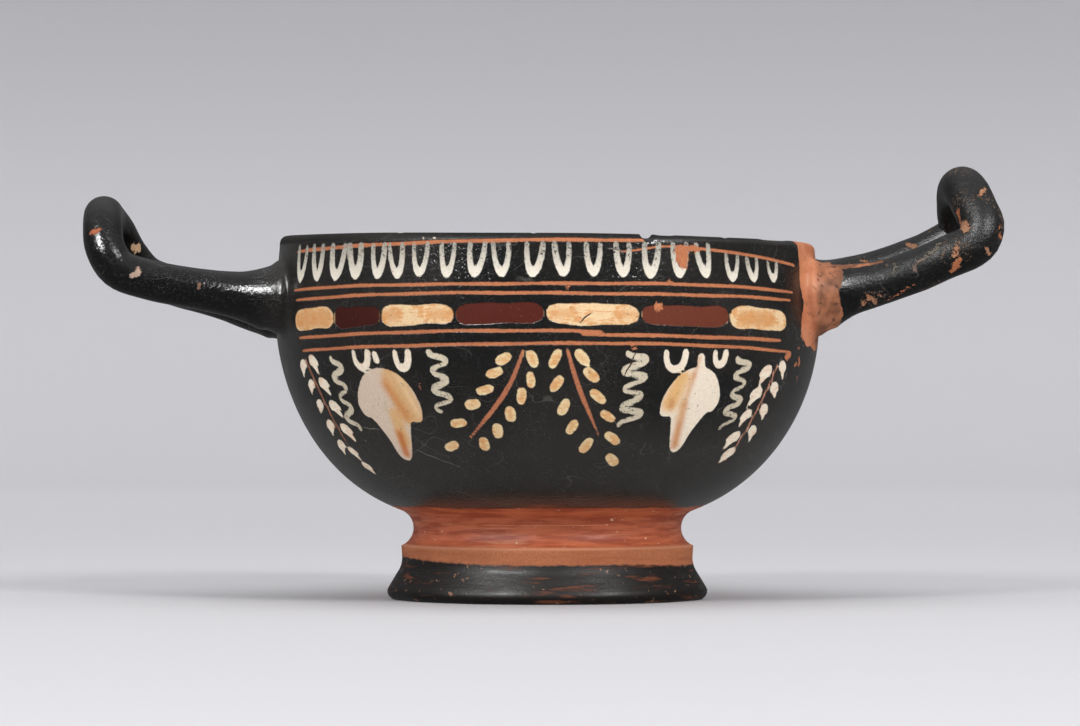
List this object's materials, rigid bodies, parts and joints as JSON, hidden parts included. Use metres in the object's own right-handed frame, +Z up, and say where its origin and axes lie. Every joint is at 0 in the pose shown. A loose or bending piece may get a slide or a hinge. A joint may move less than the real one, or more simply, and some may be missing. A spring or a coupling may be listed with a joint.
{
  "type": "cup-skyphos",
  "caption": "Wide, low black-gloss drinking cup of fired clay with a turned foot, a thin upright rim and a pair of looped handles bent up at their ends.",
  "frame": {"origin": "on the cup's axis, in the plane that its foot rests on", "axes": "+Z up along the cup's axis, +X towards the higher of the two handles, -Y towards the painted front"},
  "size_m": [0.2092, 0.1242, 0.0988],
  "materials": {
    "black_gloss": "orange-red fired clay under a near-black slip gloss, with painted white, yellow and red ornament and bare clay on the foot"
  },
  "bodies": {
    "root": {"cup_skyphos": "black_gloss"}
  },
  "joints": []
}
